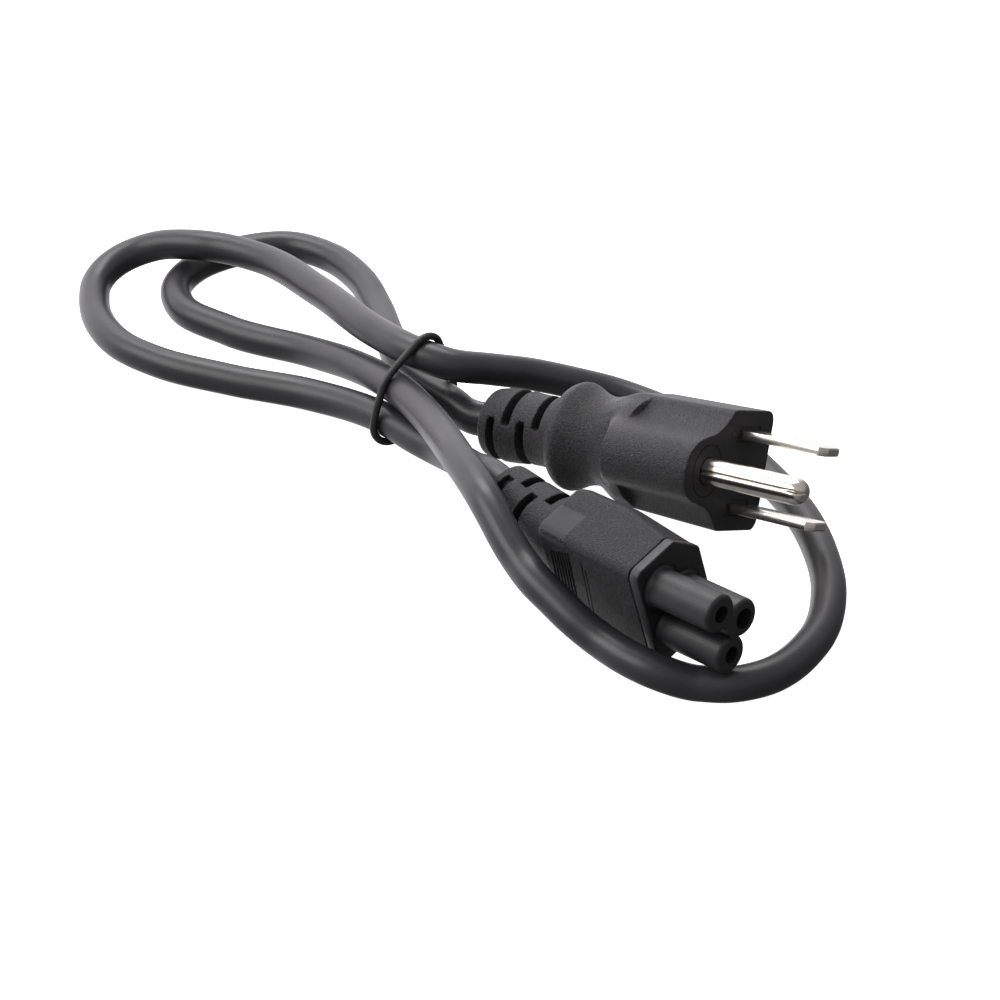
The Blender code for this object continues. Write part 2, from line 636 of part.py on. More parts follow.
def hull(points):
    """Convex hull, counterclockwise."""
    points = sorted(points)

    def half(seq):
        chain = []
        for p in seq:
            while len(chain) > 1:
                (ax, ay), (bx, by) = chain[-2], chain[-1]
                if (bx - ax) * (p[1] - ay) - (by - ay) * (p[0] - ax) > 0:
                    break
                chain.pop()
            chain.append(p)
        return chain[:-1]

    return half(points) + half(reversed(points))


clear = CABLE_D / 2 + TIE_D / 2 + 0.45 * MM
cloud = []
for centre in centres:
    cloud += circle(clear, centre, 20)
loop = hull(cloud)
start = max(range(len(loop)), key=lambda i: loop[i][0] - 0.3 * loop[i][1])
loop = loop[start:] + loop[:start]
wire = []
pitch = TIE_D + 0.5 * MM
for index, (x, z) in enumerate(loop):
    drift = pitch * (index / (len(loop) - 1) - 0.5)
    wire.append(TIE_PLANE + tie_across * x + tie_way * drift + Vector((0.0, 0.0, z - TIE_PLANE.z)))
first, last = wire[0], wire[-1]
tail_one = [first + tie_way * -8.0 * MM + tie_across * 5.5 * MM + Vector((0.0, 0.0, -1.0 * MM))]
tail_one.append(first + tie_way * -3.0 * MM + tie_across * 2.6 * MM + Vector((0.0, 0.0, -0.8 * MM)))
tail_two = [last + tie_way * 3.0 * MM + tie_across * 2.2 * MM + Vector((0.0, 0.0, -0.5 * MM))]
tail_two.append(last + tie_way * 7.0 * MM + tie_across * 4.5 * MM + Vector((0.0, 0.0, -0.6 * MM)))
tie_points = even(smooth_curve(tail_one + wire + tail_two, 4), 1.9 * MM)
tube("tie", tie_points, TIE_D, 1, mat_tie)
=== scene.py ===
import math

import bmesh
import bpy
import numpy as np
from mathutils import Matrix, Vector


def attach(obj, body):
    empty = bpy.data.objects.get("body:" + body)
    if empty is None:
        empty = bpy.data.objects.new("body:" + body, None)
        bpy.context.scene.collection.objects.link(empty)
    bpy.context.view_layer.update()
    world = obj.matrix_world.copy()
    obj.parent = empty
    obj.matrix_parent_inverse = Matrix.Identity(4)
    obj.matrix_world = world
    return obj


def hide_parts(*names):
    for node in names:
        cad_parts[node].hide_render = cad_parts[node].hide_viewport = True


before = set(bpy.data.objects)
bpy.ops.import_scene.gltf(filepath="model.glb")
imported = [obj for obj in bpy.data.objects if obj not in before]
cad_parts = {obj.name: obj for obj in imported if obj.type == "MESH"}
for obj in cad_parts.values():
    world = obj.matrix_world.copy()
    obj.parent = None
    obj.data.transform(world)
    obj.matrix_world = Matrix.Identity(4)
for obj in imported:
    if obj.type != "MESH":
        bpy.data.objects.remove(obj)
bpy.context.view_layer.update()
MM = 0.001

# ---------------------------------------------------------------- camera, in the photograph's place
ORIGIN = Vector((26.48, -11.80, 0.0))
CAMERA_POINT = Vector((0.0, -434.0, 288.77))
CAMERA_DOWN = 33.057
scene = bpy.context.scene
camera_data = bpy.data.cameras.new("camera")
camera_data.lens = 108.0
camera_data.sensor_width = 36.0
camera_data.clip_start = 0.02
camera_data.clip_end = 20.0
camera = bpy.data.objects.new("camera", camera_data)
bpy.context.collection.objects.link(camera)
camera.location = (CAMERA_POINT - ORIGIN) * MM
camera.rotation_euler = (math.radians(90.0 - CAMERA_DOWN), 0.0, 0.0)
scene.camera = camera
scene.view_settings.view_transform = "Standard"

# ---------------------------------------------------------------- sizes and places, in millimetres and degrees
CABLE_D = 6.0
CABLE_LEAD = 4.5
TIE_D = 1.4
GAP = 0.3

PLUG_POINT = Vector((41.22, -3.22, 14.30)) - ORIGIN
PLUG_ANGLES = (-34.8, 7.4, 26.7)
PLUG_HALF = 10.5
PLUG_BACK = 8.3
BLADE_AT = 6.35
BLADE_WIDTH = 6.35
BLADE_THICK = 1.5
BLADE_LENGTH = 16.6
PIN_AT = 11.89
PIN_R = 2.3
PIN_LENGTH = 19.3
CONTACT_ROOT = -9.0
BOOT_END = 51.4
REAR_DROP = 0.045
DROP_FROM = 24.0

CONNECTOR_POINT = Vector((35.57, -50.9, 14.15)) - ORIGIN
CONNECTOR_ANGLES = (-45.1, 4.6, -14.3)
HOLE_HALF = 4.42
EARTH_AT = 4.26
TUBE_R = 3.25
NOSE = 12.95
PLATE = 1.8
PLATE_BACK = NOSE + PLATE
HOUSING_FRONT = PLATE_BACK + GAP
HOUSING_END = 36.4
PATCH_AT = 29.9
PATCH_TOP = 3.1
CBOOT = 18.7

# Middle line of the cable from the plug to the connector, in the photograph's frame.
ROUTE = [
    (-9.1, 32.7, 6.5), (-12.8, 37.3, 6.3), (-16.0, 41.9, 6.1), (-21.3, 61.6, 4.1), (-23.8, 73.5, 3.1),
    (-27.8, 85.3, 3.0), (-33.9, 93.9, 3.0), (-42.0, 98.6, 3.0), (-52.0, 96.5, 3.0), (-59.2, 91.0, 3.0),
    (-63.4, 80.8, 3.0), (-61.4, 72.9, 3.0), (-51.6, 64.3, 3.0), (-35.7, 53.8, 4.6), (-27.7, 44.6, 7.3),
    (-18.4, 29.4, 11.1), (-12.3, 14.8, 13.6), (-9.5, 5.5, 15.3), (-7.0, -3.8, 17.1), (-4.3, -11.7, 17.7),
    (-2.3, -17.2, 17.3), (-0.5, -21.0, 15.8), (1.3, -24.4, 14.0), (3.3, -27.5, 12.3), (5.8, -31.4, 11.0),
    (8.7, -34.5, 9.6), (11.8, -37.6, 8.0), (16.1, -41.0, 6.1), (20.8, -45.4, 5.5), (24.9, -47.9, 4.9),
    (30.8, -48.5, 3.1), (36.7, -48.9, 3.0), (42.3, -47.1, 3.0), (51.3, -36.7, 3.0), (54.8, -23.3, 3.0),
    (54.4, -10.5, 3.0), (51.9, 1.3, 3.0), (47.7, 11.7, 3.0), (41.3, 22.9, 3.0), (34.5, 30.3, 3.2),
    (27.4, 35.2, 4.0), (20.2, 37.5, 5.6), (12.8, 37.1, 7.9), (5.5, 36.1, 10.2), (-1.8, 33.6, 12.7),
    (-9.0, 31.7, 14.8), (-14.8, 33.9, 15.8), (-21.9, 42.0, 15.1), (-34.0, 62.9, 12.3), (-46.6, 79.9, 10.4),
    (-54.8, 84.9, 10.0), (-58.8, 86.1, 9.9), (-62.9, 87.6, 9.3), (-67.0, 89.0, 8.3), (-71.1, 89.2, 7.0),
    (-74.7, 87.8, 5.9), (-77.3, 85.3, 4.9), (-78.9, 81.4, 4.0), (-78.9, 76.1, 3.4), (-77.6, 69.7, 3.0),
    (-71.9, 59.0, 3.0), (-63.9, 52.4, 3.0), (-50.2, 46.1, 3.0), (-35.0, 40.1, 3.4), (-20.4, 28.4, 5.1),
    (-14.3, 22.0, 4.8), (-11.2, 18.8, 4.9), (-7.9, 13.6, 6.3), (-4.7, 6.4, 8.8),
]
TIE_PLANE = Vector((-15.1, 31.7, 9.0)) - ORIGIN


def pose(point, angles, flip):
    """Matrix that lays an end down: its Z axis is the way the contacts point."""
    heading, pitch, roll = (math.radians(v) for v in angles)
    level_x, level_y = math.cos(heading), math.sin(heading)
    axis = Vector((level_x * math.cos(pitch), level_y * math.cos(pitch), math.sin(pitch)))
    level = Vector((-level_y, level_x, 0.0))
    upward = axis.cross(level)
    across = (upward * math.cos(roll) + level * math.sin(roll)) * flip
    side = axis.cross(across)
    matrix = Matrix((across, side, axis)).transposed().to_4x4()
    matrix.translation = point
    return matrix


PLUG_POSE = pose(PLUG_POINT, PLUG_ANGLES, 1.0)
CONNECTOR_POSE = pose(CONNECTOR_POINT, CONNECTOR_ANGLES, -1.0)
AS_IT_LIES = Matrix.Identity(4)


# ---------------------------------------------------------------- curves
def ease(value, start, end):
    """Smooth step from 0 at start to 1 at end."""
    t = np.clip((np.asarray(value, float) - start) / (end - start), 0.0, 1.0)
    return t * t * (3.0 - 2.0 * t)


def arc(centre, radius, start, end, steps):
    """Points of an arc, angles in degrees."""
    angle = np.radians(np.linspace(start, end, steps + 1))
    return [(centre[0] + radius * math.cos(a), centre[1] + radius * math.sin(a)) for a in angle]


def rounded(corners, radii, steps, between):
    """Rounds each corner of a polygon that runs counterclockwise, with extra points along its sides."""
    count = len(corners)
    spots = [Vector(corner) for corner in corners]
    points = []
    for i, here in enumerate(spots):
        following = (i + 1) % count
        before = (spots[i - 1] - here).normalized()
        after = (spots[following] - here).normalized()
        half = before.angle(after) / 2
        reach = radii[i] / math.tan(half)
        centre = here + (before + after).normalized() * (radii[i] / math.sin(half))
        first = here + before * reach - centre
        last = here + after * reach - centre
        turn = first.angle_signed(last)
        for k in range(steps + 1):
            point = first.copy()
            point.rotate(Matrix.Rotation(-turn * k / steps, 2))
            points.append(tuple(centre + point))
        leave = Vector(points[-1])
        back = (here - spots[following]).normalized()
        onward = (spots[(i + 2) % count] - spots[following]).normalized()
        arrive = spots[following] + back * (radii[following] / math.tan(back.angle(onward) / 2))
        for k in range(1, between + 1):
            points.append(tuple(leave.lerp(arrive, k / (between + 1))))
    return points


def smooth_curve(points, parts):
    """A smooth curve through points: a cubic between each two, slopes set by chord length."""
    count = len(points)
    spans = [(points[i + 1] - points[i]).length for i in range(count - 1)]
    slopes = []
    for i in range(count):
        if i == 0:
            slopes.append((points[1] - points[0]) / spans[0])
        elif i == count - 1:
            slopes.append((points[-1] - points[-2]) / spans[-1])
        else:
            before = (points[i] - points[i - 1]) / spans[i - 1]
            after = (points[i + 1] - points[i]) / spans[i]
            slopes.append((before * spans[i] + after * spans[i - 1]) / (spans[i] + spans[i - 1]))
    out = []
    for i in range(count - 1):
        for k in range(parts):
            t = k / parts
            a = 2 * t ** 3 - 3 * t ** 2 + 1
            b = t ** 3 - 2 * t ** 2 + t
            c = -2 * t ** 3 + 3 * t ** 2
            d = t ** 3 - t ** 2
            here = points[i] * a + slopes[i] * (b * spans[i])
            out.append(here + points[i + 1] * c + slopes[i + 1] * (d * spans[i]))
    out.append(points[-1])
    return out


def even(points, step):
    """The same curve read at even steps."""
    lengths = [0.0]
    for a, b in zip(points, points[1:]):
        lengths.append(lengths[-1] + (b - a).length)
    total = lengths[-1]
    count = max(int(round(total / step)), 1)
    out = []
    j = 0
    for i in range(count + 1):
        want = total * i / count
        while j < len(points) - 2 and lengths[j + 1] < want:
            j += 1
        share = (want - lengths[j]) / max(lengths[j + 1] - lengths[j], 1e-12)
        out.append(points[j].lerp(points[j + 1], min(share, 1.0)))
    return out


def frames(points):
    """Two directions across the curve at each point, turned as little as possible along it."""
    ways = []
    for i in range(len(points)):
        ways.append((points[min(i + 1, len(points) - 1)] - points[max(i - 1, 0)]).normalized())
    side = ways[0].cross(Vector((0.0, 0.0, 1.0))).normalized()
    out = []
    for way in ways:
        side = (side - way * side.dot(way)).normalized()
        out.append((side, way.cross(side)))
    return out


# ---------------------------------------------------------------- meshes
def skin(bm, rows):
    """Grows a ring of edges from row to row, and closes both ends. Each vertex keeps its two numbers."""
    number = bm.verts.layers.int.new("number")
    ring_number = bm.verts.layers.int.new("ring")
    ring = bmesh.ops.create_circle(bm, cap_ends=False, segments=len(rows[0]), radius=1.0)["verts"]
    for i, vert in enumerate(ring):
        vert[number] = i
        vert.co = rows[0][i]
    first = list(bm.edges)
    edges = first
    for at, row in enumerate(rows[1:], 1):
        out = bmesh.ops.extrude_edge_only(bm, edges=edges)["geom"]
        ring = {g for g in out if isinstance(g, bmesh.types.BMVert)}
        edges = [g for g in out if isinstance(g, bmesh.types.BMEdge) and all(v in ring for v in g.verts)]
        for vert in ring:
            vert.co = row[vert[number]]
            vert[ring_number] = at
    for loop in (first, edges):
        bmesh.ops.contextual_create(bm, geom=loop)


def tube(bm, points, radii, steps):
    """A round tube along points, closed at both ends."""
    angles = np.linspace(0.0, math.tau, steps, endpoint=False)
    rows = []
    for point, (side, other), radius in zip(points, frames(points), radii):
        rows.append([point + side * (radius * math.cos(a)) + other * (radius * math.sin(a)) for a in angles])
    skin(bm, rows)


def drum(bm, centre, front_radius, back_radius, depth, level, segments):
    """A round cutter along Z, wider or narrower towards its front."""
    verts = bmesh.ops.create_cone(bm, cap_ends=True, segments=segments, radius1=back_radius,
                                  radius2=front_radius, depth=depth)["verts"]
    bmesh.ops.translate(bm, verts=verts, vec=(centre[0], centre[1], level))


def groove(bm, centre, radius, width, depth, face=0.0):
    """A ring that cuts a shallow round groove into a flat face."""
    outer = bmesh.ops.create_circle(bm, cap_ends=False, segments=56, radius=radius + width / 2)["verts"]
    inner = bmesh.ops.create_circle(bm, cap_ends=False, segments=56, radius=radius - width / 2)["verts"]
    made = bmesh.ops.bridge_loops(bm, edges=[e for e in bm.edges if e.is_wire])["faces"]
    grown = bmesh.ops.extrude_face_region(bm, geom=made)["geom"]
    top = [g for g in grown if isinstance(g, bmesh.types.BMVert)]
    bmesh.ops.translate(bm, verts=outer + inner, vec=(centre[0], centre[1], face - depth))
    bmesh.ops.translate(bm, verts=top, vec=(centre[0], centre[1], face + 0.5))


def settle(name, bm, matrix):
    """Turns a bmesh in millimetres into a mesh in metres, laid in its place."""
    bmesh.ops.recalc_face_normals(bm, faces=bm.faces)
    mesh = bpy.data.meshes.new(name)
    bm.to_mesh(mesh)
    bm.free()
    mesh.transform(Matrix.Scale(MM, 4) @ matrix)
    return mesh


def piece(name, bm, matrix, finishes, nodes, sharp):
    """Turns a bmesh in millimetres into a finished piece of the object."""
    mesh = settle(name, bm, matrix)
    for finish in finishes:
        mesh.materials.append(finish)
    for polygon in mesh.polygons:
        polygon.use_smooth = True
    mesh.set_sharp_from_angle(angle=math.radians(sharp))
    obj = bpy.data.objects.new(name, mesh)
    bpy.context.collection.objects.link(obj)
    if nodes:
        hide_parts(*nodes)
    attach(obj, "root")
    return obj


def cut(target, bm, matrix, name, operation="DIFFERENCE"):
    """Cuts a piece with a bmesh in millimetres, or joins the two, and applies it."""
    tool = bpy.data.objects.new(name, settle(name, bm, matrix))
    bpy.context.collection.objects.link(tool)
    step = target.modifiers.new(name, "BOOLEAN")
    step.operation = operation
    step.solver = "EXACT"
    step.object = tool
    step.material_mode = "INDEX"
    graph = bpy.context.evaluated_depsgraph_get()
    result = bpy.data.meshes.new_from_object(target.evaluated_get(graph))
    target.modifiers.clear()
    old = target.data
    target.data = result
    bpy.data.meshes.remove(old)
    bpy.data.objects.remove(tool)


# ---------------------------------------------------------------- finishes
class Val:
    """A socket that takes part in sums."""

    def __init__(self, maker, socket):
        self.maker = maker
        self.socket = socket

    def sum(self, operation, first, second):
        return self.maker.node("ShaderNodeMath", {"operation": operation}, {0: first, 1: second})["Value"]

    def __add__(self, other):
        return self.sum("ADD", self, other)

    __radd__ = __add__

    def __sub__(self, other):
        return self.sum("SUBTRACT", self, other)

    def __rsub__(self, other):
        return self.sum("SUBTRACT", other, self)

    def __mul__(self, other):
        return self.sum("MULTIPLY", self, other)

    __rmul__ = __mul__

    def __truediv__(self, other):
        return self.sum("DIVIDE", self, other)

    def above(self, edge):
        return self.sum("GREATER_THAN", self, edge)


class Wiring:
    """A node tree being filled."""

    def __init__(self, tree):
        self.tree = tree

    def node(self, kind, settings=None, inputs=None):
        """Adds a node, and gives its outputs by name and by place."""
        made = self.tree.nodes.new(kind)
        for key, value in (settings or {}).items():
            if key == "stops":
                for element, (at, shade) in zip(made.color_ramp.elements, value):
                    element.position = at
                    element.color = (shade, shade, shade, 1.0)
            else:
                setattr(made, key, value)
        for key, value in (inputs or {}).items():
            if isinstance(value, Val):
                self.tree.links.new(value.socket, made.inputs[key])
            else:
                made.inputs[key].default_value = value
        outputs = {socket.name: Val(self, socket) for socket in reversed(made.outputs)}
        outputs.update(enumerate(Val(self, socket) for socket in made.outputs))
        return outputs


class Finish(Wiring):
    """A material being made."""

    def __init__(self, name, **constants):
        self.material = bpy.data.materials.new(name)
        self.material.use_nodes = True
        super().__init__(self.material.node_tree)
        self.shader = self.tree.nodes["Principled BSDF"]
        for socket, value in constants.items():
            self.shader.inputs[socket.replace("_", " ")].default_value = value

    def place(self):
        """Object coordinates in millimetres."""
        where = self.node("ShaderNodeTexCoord")["Object"]
        return self.node("ShaderNodeVectorMath", {"operation": "SCALE"}, {0: where, 3: 1.0 / MM})["Vector"]

    def noise(self, place, scale, detail=2.0, rough=0.5):
        values = {"Vector": place, "Scale": scale, "Detail": detail, "Roughness": rough}
        return self.node("ShaderNodeTexNoise", {}, values)["Fac"]

    def ramp(self, value, stops):
        return self.node("ShaderNodeValToRGB", {"stops": stops}, {"Fac": value})["Color"]

    def blend(self, share, first, second):
        """Mixes two colours."""
        one, two = (c if isinstance(c, Val) else (*c, 1.0) for c in (first, second))
        return self.node("ShaderNodeMix", {"data_type": "RGBA"}, {0: share, 6: one, 7: two})[2]

    def specks(self, place, scale, size, share):
        """Sparse round dust specks: 1 on a speck."""
        cells = self.node("ShaderNodeTexVoronoi", {"feature": "F1"}, {"Vector": place, "Scale": scale})
        near = 1.0 - cells["Distance"] / size
        chance = self.node("ShaderNodeSeparateColor", {}, {"Color": cells["Color"]})["Red"]
        settings = {"operation": "MULTIPLY", "use_clamp": True}
        return self.node("ShaderNodeMath", settings, {0: near * 2.0, 1: chance.above(1.0 - share)})["Value"]

    def bump(self, height, strength, distance, onto=None):
        values = {"Height": height, "Strength": strength, "Distance": distance}
        if onto is not None:
            values["Normal"] = onto
        return self.node("ShaderNodeBump", {}, values)["Normal"]

    def give(self, socket, value):
        self.tree.links.new(value.socket, self.shader.inputs[socket])


def shade(colour, amount):
    """A colour made lighter or darker."""
    return tuple(c * amount for c in colour)


def moulded(name, grain, rough, colour, gloss=0.5):
    """Black moulded PVC with a spark-eroded grain and a little dust."""
    f = Finish(name, Specular_IOR_Level=gloss)
    place = f.place()
    fine = f.noise(place, 3.7, 2.0, 0.6)
    broad = f.noise(place, 0.35)
    speck = f.specks(place, 0.9, 0.10, 0.035)
    grains = f.ramp(fine, [(0.40, 0.0), (0.62, 1.0)])
    plastic = f.blend(grains, shade(colour, 0.45), shade(colour, 2.6))
    f.give("Base Color", f.blend(speck * 0.8, plastic, (0.30, 0.29, 0.28)))
    f.give("Roughness", rough - (fine - 0.5) * 0.30 + (broad - 0.5) * 0.10)
    f.give("Normal", f.bump(speck, 0.4, 0.00003, f.bump(fine, 1.0, grain)))
    return f.material


def cable_finish():
    """Satin black jacket with faint drawn lines along it and a little dust."""
    f = Finish("jacket_satin_black", Specular_IOR_Level=0.50)
    place = f.place()
    uv = f.node("ShaderNodeTexCoord")["UV"]
    stretched = f.node("ShaderNodeMapping", {}, {"Vector": uv, "Scale": (12.0, 34.0, 1.0)})["Vector"]
    lines = f.noise(stretched, 1.0, 3.0, 0.6)
    cloud = f.noise(place, 0.12, 3.0)
    fine = f.noise(place, 2.2)
    speck = f.specks(place, 0.42, 0.055, 0.16)
    plastic = f.blend(cloud, (0.0240, 0.0225, 0.0246), (0.0330, 0.0312, 0.0337))
    f.give("Base Color", f.blend(speck * 0.55, plastic, (0.22, 0.21, 0.20)))
    f.give("Roughness", 0.37 + (cloud - 0.5) * 0.16 + (lines - 0.5) * 0.08 + speck * 0.3)
    f.give("Normal", f.bump(fine, 0.25, 0.00003, f.bump(lines, 0.35, 0.00004)))
    return f.material


def smooth_plastic(name, colour, rough):
    """Smooth moulded plastic with faint flow marks."""
    f = Finish(name, Specular_IOR_Level=0.5)
    place = f.place()
    cloud = f.noise(place, 0.5, 3.0)
    fine = f.noise(place, 4.0)
    speck = f.specks(place, 0.8, 0.09, 0.05)
    plastic = f.blend(cloud, colour, shade(colour, 1.5))
    f.give("Base Color", f.blend(speck * 0.7, plastic, (0.28, 0.27, 0.26)))
    f.give("Roughness", rough + (cloud - 0.5) * 0.14 + speck * 0.2)
    f.give("Normal", f.bump(fine + cloud * 2.0, 0.25, 0.00004))
    return f.material


def nickel_finish():
    """Nickel plate with fine rolling lines along the contacts."""
    f = Finish("nickel_plate", Metallic=1.0)
    nickel = (0.74, 0.70, 0.635)
    turn = (0.0, -math.radians(PLUG_ANGLES[1]), -math.radians(PLUG_ANGLES[0]))
    place = f.place()
    turned = f.node("ShaderNodeMapping", {}, {"Vector": place, "Rotation": turn})["Vector"]
    stretched = f.node("ShaderNodeMapping", {}, {"Vector": turned, "Scale": (0.25, 6.0, 6.0)})["Vector"]
    lines = f.noise(stretched, 1.0, 4.0, 0.65)
    cloud = f.noise(place, 0.6, 3.0)
    f.give("Base Color", f.blend(f.ramp(cloud, [(0.35, 0.0), (0.75, 1.0)]), nickel, shade(nickel, 0.82)))
    f.give("Roughness", 0.20 + (lines - 0.5) * 0.10 + (cloud - 0.5) * 0.10)
    f.give("Normal", f.bump(lines, 0.10, 0.00002))
    return f.material


def brass_finish():
    """Dull brass of the contact sleeves."""
    f = Finish("sleeve_brass", Metallic=1.0)
    cloud = f.noise(f.place(), 1.4, 3.0)
    f.give("Base Color", f.blend(cloud, (0.58, 0.42, 0.22), (0.34, 0.22, 0.11)))
    f.give("Roughness", 0.32 + cloud * 0.2)
    return f.material


PLUG_GRAIN = moulded("pvc_grained_black", 0.00038, 0.46, (0.0120, 0.0109, 0.0123))
CONNECTOR_GRAIN = moulded("pvc_grained_connector", 0.00026, 0.50, (0.0080, 0.0072, 0.0083), 0.33)
PLUG_FACE = smooth_plastic("plug_face_smooth", (0.0190, 0.0172, 0.0193), 0.52)
NOSE_SATIN = smooth_plastic("nose_satin", (0.0110, 0.0100, 0.0114), 0.46)
# the plate's edge band is the nose's satin made lighter: painted highlight standing in for the light that falls on
# that band
PLATE_EDGE_PAINTED_LIGHT = smooth_plastic("plate_edge_painted_highlight", (0.0150, 0.0138, 0.0155), 0.46)
GRIP_PATCH = smooth_plastic("grip_patch_satin", (0.0115, 0.0105, 0.0118), 0.62)
JACKET = cable_finish()
TIE_COAT = smooth_plastic("tie_coating_black", (0.014, 0.014, 0.014), 0.42)
NICKEL = nickel_finish()
BRASS = brass_finish()

# ---------------------------------------------------------------- cable
CABLE_STEP = 0.8
CABLE_SIDES = 32
WAVE = 0.02
WAVE_LENGTH = 23.0
BOOT_BEND = (-0.2, 3.9)
BOOT_START = (-1.6, 3.4)


def boot_frame(along):
    """Middle point and directions of the connector's strain relief, from the housing back."""
    share = along / CBOOT
    bend = share * share * (2.0 - share) * 0.6 + share * 0.4
    slope = ((4.0 * share - 3.0 * share * share) * 0.6 + 0.4) / CBOOT
    (dx, dy), (x, y) = BOOT_BEND, BOOT_START
    point = Vector((x + dx * bend, y + dy * bend, -HOUSING_END - along))
    back = Vector((dx * slope, dy * slope, -1.0)).normalized()
    x_axis = (Vector((1.0, 0.0, 0.0)) - back * back.x).normalized()
    return point, x_axis, x_axis.cross(back), back


def plug_rear(past):
    """A point on the middle line of the plug's strain relief, past its end."""
    drop = REAR_DROP * (BOOT_END + past - DROP_FROM)
    return PLUG_POSE @ Vector((-drop, 0.0, -BOOT_END - GAP - past))


tip, _, _, tip_back = boot_frame(CBOOT)
plug_exit = plug_rear(0.0)
connector_exit = CONNECTOR_POSE @ (tip + tip_back * GAP)
connector_lead = CONNECTOR_POSE @ (tip + tip_back * (GAP + CABLE_LEAD))
route = [plug_exit, plug_rear(CABLE_LEAD)] + [Vector(p) - ORIGIN for p in ROUTE]
cable_curve = smooth_curve(route + [connector_lead, connector_exit], 24)
cable_line = [Vector((p.x, p.y, max(p.z, CABLE_D / 2 + 0.03))) for p in even(cable_curve, CABLE_STEP)]
cable_length = sum((b - a).length for a, b in zip(cable_line, cable_line[1:]))


def make_cable():
    """The jacket, slightly wavy, with a UV map: u along it in metres, v once round it."""
    bm = bmesh.new()
    turn = CABLE_STEP * math.tau / WAVE_LENGTH
    radii = [CABLE_D / 2 - WAVE + WAVE * math.sin(i * turn) for i in range(len(cable_line))]
    tube(bm, cable_line, radii, CABLE_SIDES)
    uv_layer = bm.loops.layers.uv.new("UVMap")
    number = bm.verts.layers.int["number"]
    ring = bm.verts.layers.int["ring"]
    half = CABLE_SIDES // 2
    for face in bm.faces:
        marks = [loop.vert[number] for loop in face.loops]
        wraps = max(marks) - min(marks) > half
        for loop, mark in zip(face.loops, marks):
            around = mark + (CABLE_SIDES if wraps and mark < half else 0)
            loop[uv_layer].uv = (loop.vert[ring] * CABLE_STEP * MM, around / CABLE_SIDES)
    return piece("cable_jacket", bm, AS_IT_LIES, [JACKET], ["cable"], 60.0)


cable = make_cable()

# ---------------------------------------------------------------- wire tie
TIE_WAY = Vector((0.62, -0.785, 0.0)).normalized()
TIE_ACROSS = Vector((-TIE_WAY.y, TIE_WAY.x, 0.0))
TIE_REACH = 22.0
TAIL_ONE = [(-8.0, 5.5, -1.0), (-3.0, 2.6, -0.8)]
TAIL_TWO = [(3.0, 2.2, -0.5), (7.0, 4.5, -0.6)]


def strands_through_tie():
    """Where the cable passes the tie's plane: across it and above the floor."""
    strands = []
    for a, b in zip(cable_curve, cable_curve[1:]):
        before = (a - TIE_PLANE).dot(TIE_WAY)
        after = (b - TIE_PLANE).dot(TIE_WAY)
        if before * after <= 0.0 and (a - TIE_PLANE).length < TIE_REACH:
            hit = a.lerp(b, abs(before) / max(abs(before) + abs(after), 1e-12))
            strands.append(((hit - TIE_PLANE).dot(TIE_ACROSS), hit.z))
    return strands


def hull(points):
    """Convex hull, counterclockwise."""
    points = sorted(points)

    def half(seq):
        chain = []
        for p in seq:
            while len(chain) > 1:
                (ax, ay), (bx, by) = chain[-2], chain[-1]
                if (bx - ax) * (p[1] - ay) - (by - ay) * (p[0] - ax) > 0:
                    break
                chain.pop()
            chain.append(p)
        return chain[:-1]

    return half(points) + half(reversed(points))


def tie_tail(end, offsets):
    """Points of a free end, from its offsets along the strands, across them and up."""
    return [end + TIE_WAY * way + TIE_ACROSS * across + Vector((0.0, 0.0, up)) for way, across, up in offsets]


def make_tie():
    """A wire pulled once round the strands, with two short free ends."""
    cloud = []
    for strand in strands_through_tie():
        cloud += arc(strand, CABLE_D / 2 + TIE_D / 2 + 0.1, 0.0, 351.0, 39)
    loop = hull(cloud)
    start = max(range(len(loop)), key=lambda i: loop[i][0] - 0.3 * loop[i][1])
    loop = loop[start:] + loop[:start]
    wire = []
    for index, (x, z) in enumerate(loop):
        drift = (TIE_D + 0.5) * (index / (len(loop) - 1) - 0.5)
        wire.append(TIE_PLANE + TIE_ACROSS * x + TIE_WAY * drift + Vector((0.0, 0.0, z - TIE_PLANE.z)))
    wire = tie_tail(wire[0], TAIL_ONE) + wire + tie_tail(wire[-1], TAIL_TWO)
    line = even(smooth_curve(wire, 6), 0.35)
    bm = bmesh.new()
    tube(bm, line, [TIE_D / 2] * len(line), 16)
    piece("tie_wire", bm, AS_IT_LIES, [TIE_COAT], ["tie"], 50.0)


make_tie()

# ---------------------------------------------------------------- plug moulding
LOBE_EDGE = [(10.5, 4.4), (10.38, 5.2), (10.0, 5.8), (9.3, 6.4), (8.1, 7.65), (7.15, 9.0), (6.4, 10.5),
             (5.95, 12.2), (5.6, 13.9), (5.1, 15.5), (4.35, 16.9), (3.2, 18.05), (1.7, 18.8), (0.0, 19.05)]
BLOCK_BACK = 19.0
LOBE_MIDDLE = 3.2
LOBE_END = 16.9
LOBE_LEFT = 0.86
SHOULDER_TOP = 8.2

# Distance behind the face and radius of the round rear: neck, ball and strain relief.
REAR = [(19.0, 9.9), (21.0, 9.4), (23.0, 8.8), (25.0, 8.3), (27.0, 7.95), (28.6, 8.1), (30.3, 8.6), (31.9, 9.35),
        (33.0, 9.75), (34.2, 9.45), (34.9, 8.95), (35.5, 8.1), (35.9, 7.25), (36.15, 6.9), (36.5, 6.8),
        (50.2, 6.3), (50.9, 6.12), (51.25, 5.75), (51.4, 5.3)]
BOOT_SLOTS = [(38.8, -6.0), (41.93, 174.0), (45.06, -6.0), (48.19, 174.0)]
SLOT_RINGS = (0.3, 0.5, 0.62, 0.69, 0.72, 0.76, 0.79, 0.82, 0.88, 0.95, 1.1)
SLOT_FLOOR = 3.75
CRESCENT_AT = 16.75
CRESCENT_STEP = 0.95
CRESCENT_HOLLOW = 0.22

